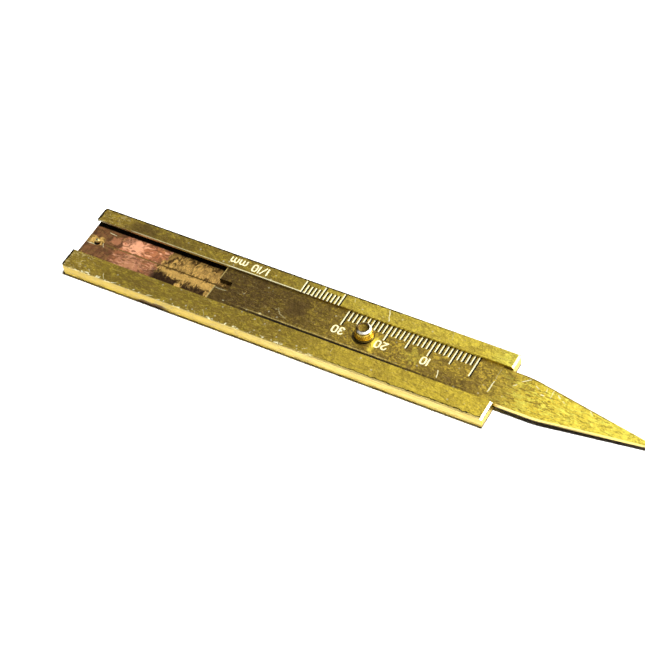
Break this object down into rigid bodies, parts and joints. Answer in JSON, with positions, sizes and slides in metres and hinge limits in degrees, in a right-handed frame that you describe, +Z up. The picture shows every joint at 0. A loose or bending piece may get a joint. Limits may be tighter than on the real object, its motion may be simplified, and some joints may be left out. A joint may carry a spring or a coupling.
{
  "type": "ring sizer stick",
  "caption": "Sliding brass gauge stick: flat channel body with a vernier, pointed tongue with a millimetre scale, thumb knob and zero stop.",
  "frame": {"origin": "centre of the channel body's flat underside", "axes": "+X along the stick towards the tongue's tip, +Y across it towards the rail with the vernier, +Z up, out of the scale side"},
  "size_m": [0.1323, 0.0186, 0.0046],
  "materials": {
    "body_brass": "worn satin, olive-gold tarnish on the rails, pink bloom on the floor",
    "tongue_brass": "rubbed satin with fine scratches, brighter at the nose",
    "knob_brass": "turned and polished by handling",
    "pin_brass": "polished crown",
    "spring_bronze": "dull rolled bronze strip"
  },
  "bodies": {
    "channel_body": {"base_plate": "body_brass", "near_spacer": "body_brass", "far_spacer": "body_brass", "near_cover": "body_brass", "far_cover": "body_brass", "stop_pin": "pin_brass"},
    "slide": {"tongue": "tongue_brass", "thumb_knob": "knob_brass", "spring_rivet": "tongue_brass", "friction_spring": "spring_bronze"}
  },
  "joints": [
    {"name": "tongue_slide", "type": "slide", "parent": "channel_body", "child": "slide", "axis": [1, 0, 0], "range_m": [-0.0327, 0]}
  ]
}
